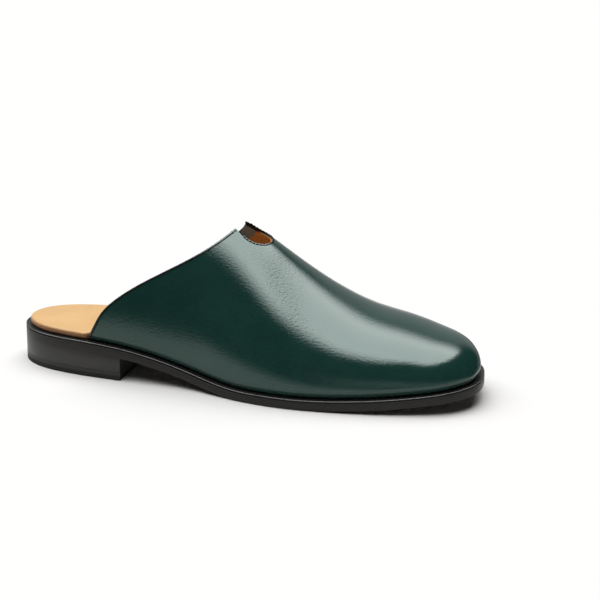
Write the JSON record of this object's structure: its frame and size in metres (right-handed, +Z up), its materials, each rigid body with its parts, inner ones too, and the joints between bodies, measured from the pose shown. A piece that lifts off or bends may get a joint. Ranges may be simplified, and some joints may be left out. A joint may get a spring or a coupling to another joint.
{
  "type": "babouche slipper",
  "caption": "Backless leather slipper with a whole-cut closed-toe upper slotted at the instep, tan insole, thin welt, leather outsole and low stacked heel.",
  "frame": {"origin": "middle of the sole's length and width, on the floor plane under the tread and the heel", "axes": "+X from heel to toe, +Y towards the inner (big toe) side, +Z up"},
  "size_m": [0.3, 0.0972, 0.0967],
  "materials": {
    "upper_leather": "high gloss",
    "insole_leather": "satin",
    "welt_leather": "waxed",
    "sole_leather": "waxed",
    "heel_leather": "waxed",
    "heel_rubber": "matt"
  },
  "bodies": {
    "root": {"upper": "upper_leather", "insole": "insole_leather", "welt": "welt_leather", "outsole": "sole_leather", "heel_stack": "heel_leather", "top_piece": "heel_rubber"}
  },
  "joints": []
}
